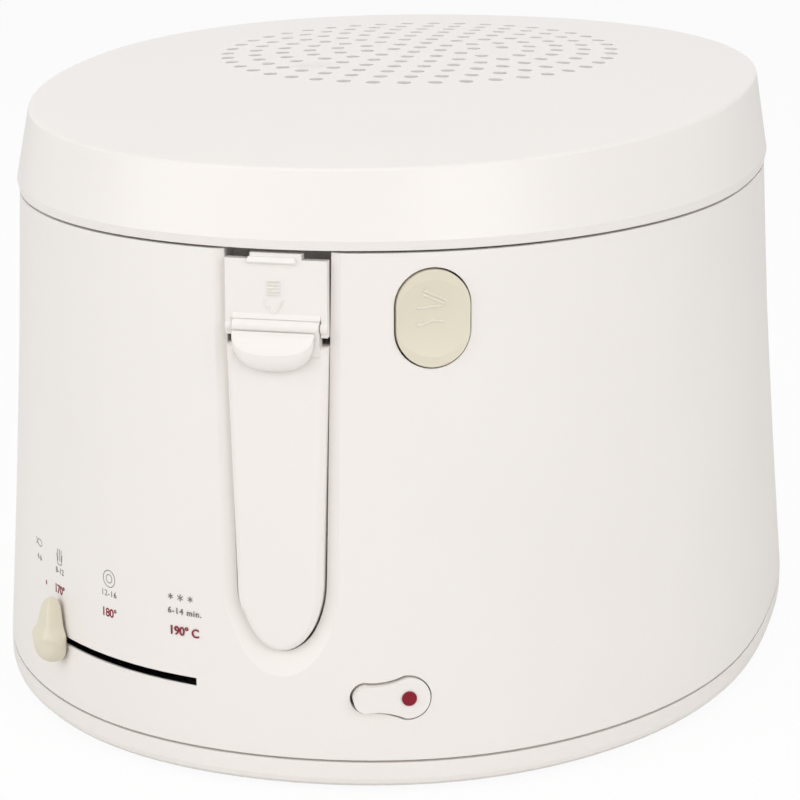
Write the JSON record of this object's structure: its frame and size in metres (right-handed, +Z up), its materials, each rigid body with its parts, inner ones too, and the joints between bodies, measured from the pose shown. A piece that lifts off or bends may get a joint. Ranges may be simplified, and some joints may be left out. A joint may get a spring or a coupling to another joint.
{
  "type": "deep fryer",
  "caption": "Oval household deep fryer with a rear-hinged vented lid, lid release button, folding handle that lifts the basket, temperature slider and rocker switch.",
  "frame": {"origin": "middle of the bounding box on the plane that the feet stand on", "axes": "+Z up, -Y towards the user at the handle, +X to the right seen from the front"},
  "size_m": [0.3039, 0.3894, 0.2267],
  "materials": {
    "white_plastic": "satin moulded",
    "beige_plastic": "satin moulded",
    "dark_plastic": "matt moulded",
    "steel": "bright wire and sheet",
    "coated_bowl": "dark non-stick coating",
    "silicone": "grey silicone",
    "rubber": "matt",
    "red_lens": "clear red",
    "filter_felt": "felt"
  },
  "bodies": {
    "housing": {"outer_casing": "white_plastic", "base_tray": "white_plastic", "rubber_feet": "rubber", "base_screws": "steel", "inner_bowl": "coated_bowl", "heating_element": "steel", "heat_shield": "steel", "shield_studs": "steel", "thermostat": "dark_plastic", "thermal_cutout": "dark_plastic", "terminal_block": "dark_plastic", "cord_gland": "white_plastic", "switch_housing": "dark_plastic", "handle_plate": "white_plastic", "handle_pin": "steel", "hinge_bracket": "white_plastic", "hinge_pin": "steel", "hinge_cover": "white_plastic", "lid_spring": "steel"},
    "lid": {"lid_shell": "white_plastic", "lid_knuckles": "white_plastic", "lid_liner": "white_plastic", "lid_seal": "silicone", "lid_filter": "filter_felt", "lid_hook": "white_plastic"},
    "lid_release": {"lid_button": "beige_plastic", "button_latch": "dark_plastic"},
    "switch": {"power_rocker": "white_plastic", "pilot_lens": "red_lens"},
    "slider": {"thermostat_knob": "beige_plastic", "thermostat_lever": "steel"},
    "handle": {"handle_grip": "white_plastic"},
    "handle_catch": {"thumb_slide": "white_plastic"},
    "fry_basket": {"basket": "steel", "basket_floor": "steel", "basket_rim_wire": "steel", "basket_hanger": "steel"}
  },
  "joints": [
    {"name": "lid_hinge", "type": "hinge", "parent": "housing", "child": "lid", "pos_m": [0, 0.18175, 0.1845], "axis": [-1, 0, 0], "range_deg": [0, 85]},
    {"name": "lid_release_press", "type": "slide", "parent": "housing", "child": "lid_release", "axis": [-0.4153, 0.9097, 0], "range_m": [0, 0.003], "stiffness_N_per_m": 700},
    {"name": "switch_rock", "type": "hinge", "parent": "housing", "child": "switch", "pos_m": [0.0345, -0.18254, 0.0342], "axis": [0, 0, -1], "range_deg": [0, 13]},
    {"name": "temperature_slide", "type": "hinge", "parent": "housing", "child": "slider", "pos_m": [-0.00227, -0.06281, 0.035], "axis": [0, 0, 1], "range_deg": [0, 29.1]},
    {"name": "handle_fold", "type": "hinge", "parent": "housing", "child": "handle", "pos_m": [0, -0.18925, 0.16], "axis": [-1, 0, 0], "range_deg": [0, 90]},
    {"name": "handle_catch_slide", "type": "slide", "parent": "handle", "child": "handle_catch", "axis": [0, 0, -1], "range_m": [0, 0.004], "stiffness_N_per_m": 300},
    {"name": "basket_lift", "type": "slide", "parent": "housing", "child": "fry_basket", "axis": [0, 0, 1], "range_m": [0, 0.035]}
  ],
  "couplings": [
    {"joint": "basket_lift", "follows": "handle_fold", "m_per_rad": 0.022282}
  ]
}
